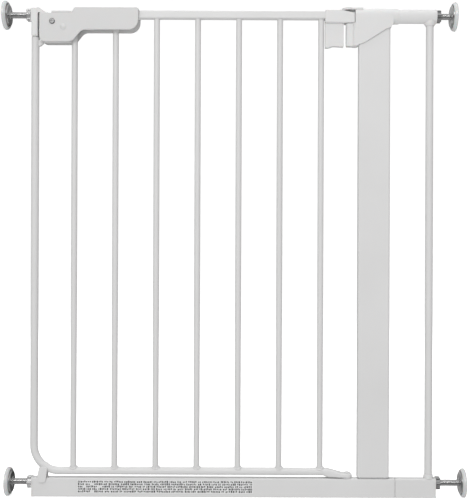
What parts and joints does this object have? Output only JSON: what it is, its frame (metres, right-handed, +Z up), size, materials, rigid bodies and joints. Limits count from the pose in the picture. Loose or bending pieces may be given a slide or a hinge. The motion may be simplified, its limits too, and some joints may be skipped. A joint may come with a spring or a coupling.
{
  "type": "pressure-fit safety baby gate",
  "caption": "Upright barred safety gate for a doorway: a barred door swings in a fixed frame held between walls by hand-tightened spindles and wall cups, with a lift-lever lock.",
  "frame": {"origin": "on the floor, midway between the two walls that the gate is pressed against, on the gate's middle plane", "axes": "+X to the right along the gate as seen from the side it opens to, +Y away from that side, +Z up"},
  "size_m": [0.726, 0.0452, 0.7786],
  "materials": {
    "powder_coat": "smooth satin white powder coat",
    "white_plastic": "fine satin moulded white",
    "catch_plastic": "satin white, ribbed",
    "zinc_plate": "bright zinc plate",
    "cup_plastic": "milky grey-white, semi-gloss",
    "label": "printed film"
  },
  "bodies": {
    "frame": {"bottom_hinge_pin": "powder_coat", "bottom_hinge_washer": "white_plastic", "bottom_rail": "powder_coat", "extension_base_collar": "white_plastic", "extension_bottom_rail": "powder_coat", "extension_top_saddle": "white_plastic", "extension_upright": "powder_coat", "hinge_bracket": "white_plastic", "latch_post": "powder_coat", "latch_post_foot": "powder_coat", "rail_end_cap_left": "white_plastic", "rail_end_cap_right": "white_plastic", "rail_joiner": "powder_coat", "rail_label": "label", "strike_bracket": "white_plastic", "top_hinge_pin": "zinc_plate", "top_tube": "powder_coat", "top_tube_cap": "white_plastic", "top_tube_sleeve": "white_plastic", "upright_spacer": "white_plastic", "wide_upright": "powder_coat"},
    "gate": {"gate_bar_1": "powder_coat", "gate_bar_2": "powder_coat", "gate_bar_3": "powder_coat", "gate_bar_4": "powder_coat", "gate_bar_5": "powder_coat", "gate_bar_6": "powder_coat", "gate_bar_7": "powder_coat", "gate_hinge_block": "white_plastic", "gate_hinge_lug": "powder_coat", "gate_stop_tab": "powder_coat", "gate_top_rail": "powder_coat", "gate_tube": "powder_coat", "gate_tube_cap": "white_plastic", "lock_plate": "powder_coat"},
    "lock_lever": {"lever_front_shell": "white_plastic", "lever_hook": "zinc_plate", "lever_hook_screw": "zinc_plate", "lever_pivot_nut": "zinc_plate", "lever_pivot_screw": "zinc_plate", "lever_rear_shell": "white_plastic", "lever_return_spring": "zinc_plate", "lever_stop_pin": "zinc_plate"},
    "thumb_catch": {"thumb_catch": "catch_plastic"},
    "spindle_top_left": {"spindle_top_left": "zinc_plate", "foot_disc_top_left": "zinc_plate", "wall_cup_top_left": "cup_plastic"},
    "nut_top_left": {"tension_nut_top_left": "zinc_plate"},
    "spindle_low_left": {"spindle_low_left": "zinc_plate", "foot_disc_low_left": "zinc_plate", "wall_cup_low_left": "cup_plastic"},
    "nut_low_left": {"tension_nut_low_left": "zinc_plate"},
    "spindle_top_right": {"spindle_top_right": "zinc_plate", "foot_disc_top_right": "zinc_plate", "wall_cup_top_right": "cup_plastic"},
    "nut_top_right": {"tension_nut_top_right": "zinc_plate"},
    "spindle_low_right": {"spindle_low_right": "zinc_plate", "foot_disc_low_right": "zinc_plate", "wall_cup_low_right": "cup_plastic"},
    "nut_low_right": {"tension_nut_low_right": "zinc_plate"}
  },
  "joints": [
    {"name": "gate_swing", "type": "hinge", "parent": "frame", "child": "gate", "pos_m": [0.178, 0, 0.38], "axis": [0, 0, 1], "range_deg": [0, 90]},
    {"name": "lever_lift", "type": "hinge", "parent": "gate", "child": "lock_lever", "pos_m": [-0.2855, 0, 0.7438], "axis": [0, -1, 0], "range_deg": [0, 20], "stiffness_Nm_per_rad": 0.4, "springref_deg": -5.73},
    {"name": "catch_slide", "type": "slide", "parent": "lock_lever", "child": "thumb_catch", "axis": [-1, 0, 0], "range_m": [0, 0.0045], "stiffness_N_per_m": 300},
    {"name": "spindle_slide_top_left", "type": "slide", "parent": "frame", "child": "spindle_top_left", "axis": [-1, 0, 0], "range_m": [-0.003, 0.006]},
    {"name": "nut_spin_top_left", "type": "hinge", "parent": "frame", "child": "nut_top_left", "pos_m": [-0.3235, 0, 0.756], "axis": [1, 0, 0], "range_deg": [-721, 1441]},
    {"name": "spindle_slide_low_left", "type": "slide", "parent": "frame", "child": "spindle_low_left", "axis": [-1, 0, 0], "range_m": [-0.01, 0.015]},
    {"name": "nut_spin_low_left", "type": "hinge", "parent": "frame", "child": "nut_low_left", "pos_m": [-0.32, 0, 0.0227], "axis": [1, 0, 0], "range_deg": [-2401, 3601]},
    {"name": "spindle_slide_top_right", "type": "slide", "parent": "frame", "child": "spindle_top_right", "axis": [1, 0, 0], "range_m": [-0.004, 0.015]},
    {"name": "nut_spin_top_right", "type": "hinge", "parent": "frame", "child": "nut_top_right", "pos_m": [0.319, 0, 0.756], "axis": [-1, 0, 0], "range_deg": [-961, 3601]},
    {"name": "spindle_slide_low_right", "type": "slide", "parent": "frame", "child": "spindle_low_right", "axis": [1, 0, 0], "range_m": [-0.01, 0.015]},
    {"name": "nut_spin_low_right", "type": "hinge", "parent": "frame", "child": "nut_low_right", "pos_m": [0.32, 0, 0.0227], "axis": [-1, 0, 0], "range_deg": [-2401, 3601]}
  ],
  "couplings": [
    {"joint": "nut_spin_top_left", "follows": "spindle_slide_top_left", "rad_per_m": 4188.8},
    {"joint": "nut_spin_low_left", "follows": "spindle_slide_low_left", "rad_per_m": 4188.8},
    {"joint": "nut_spin_top_right", "follows": "spindle_slide_top_right", "rad_per_m": 4188.8},
    {"joint": "nut_spin_low_right", "follows": "spindle_slide_low_right", "rad_per_m": 4188.8}
  ]
}
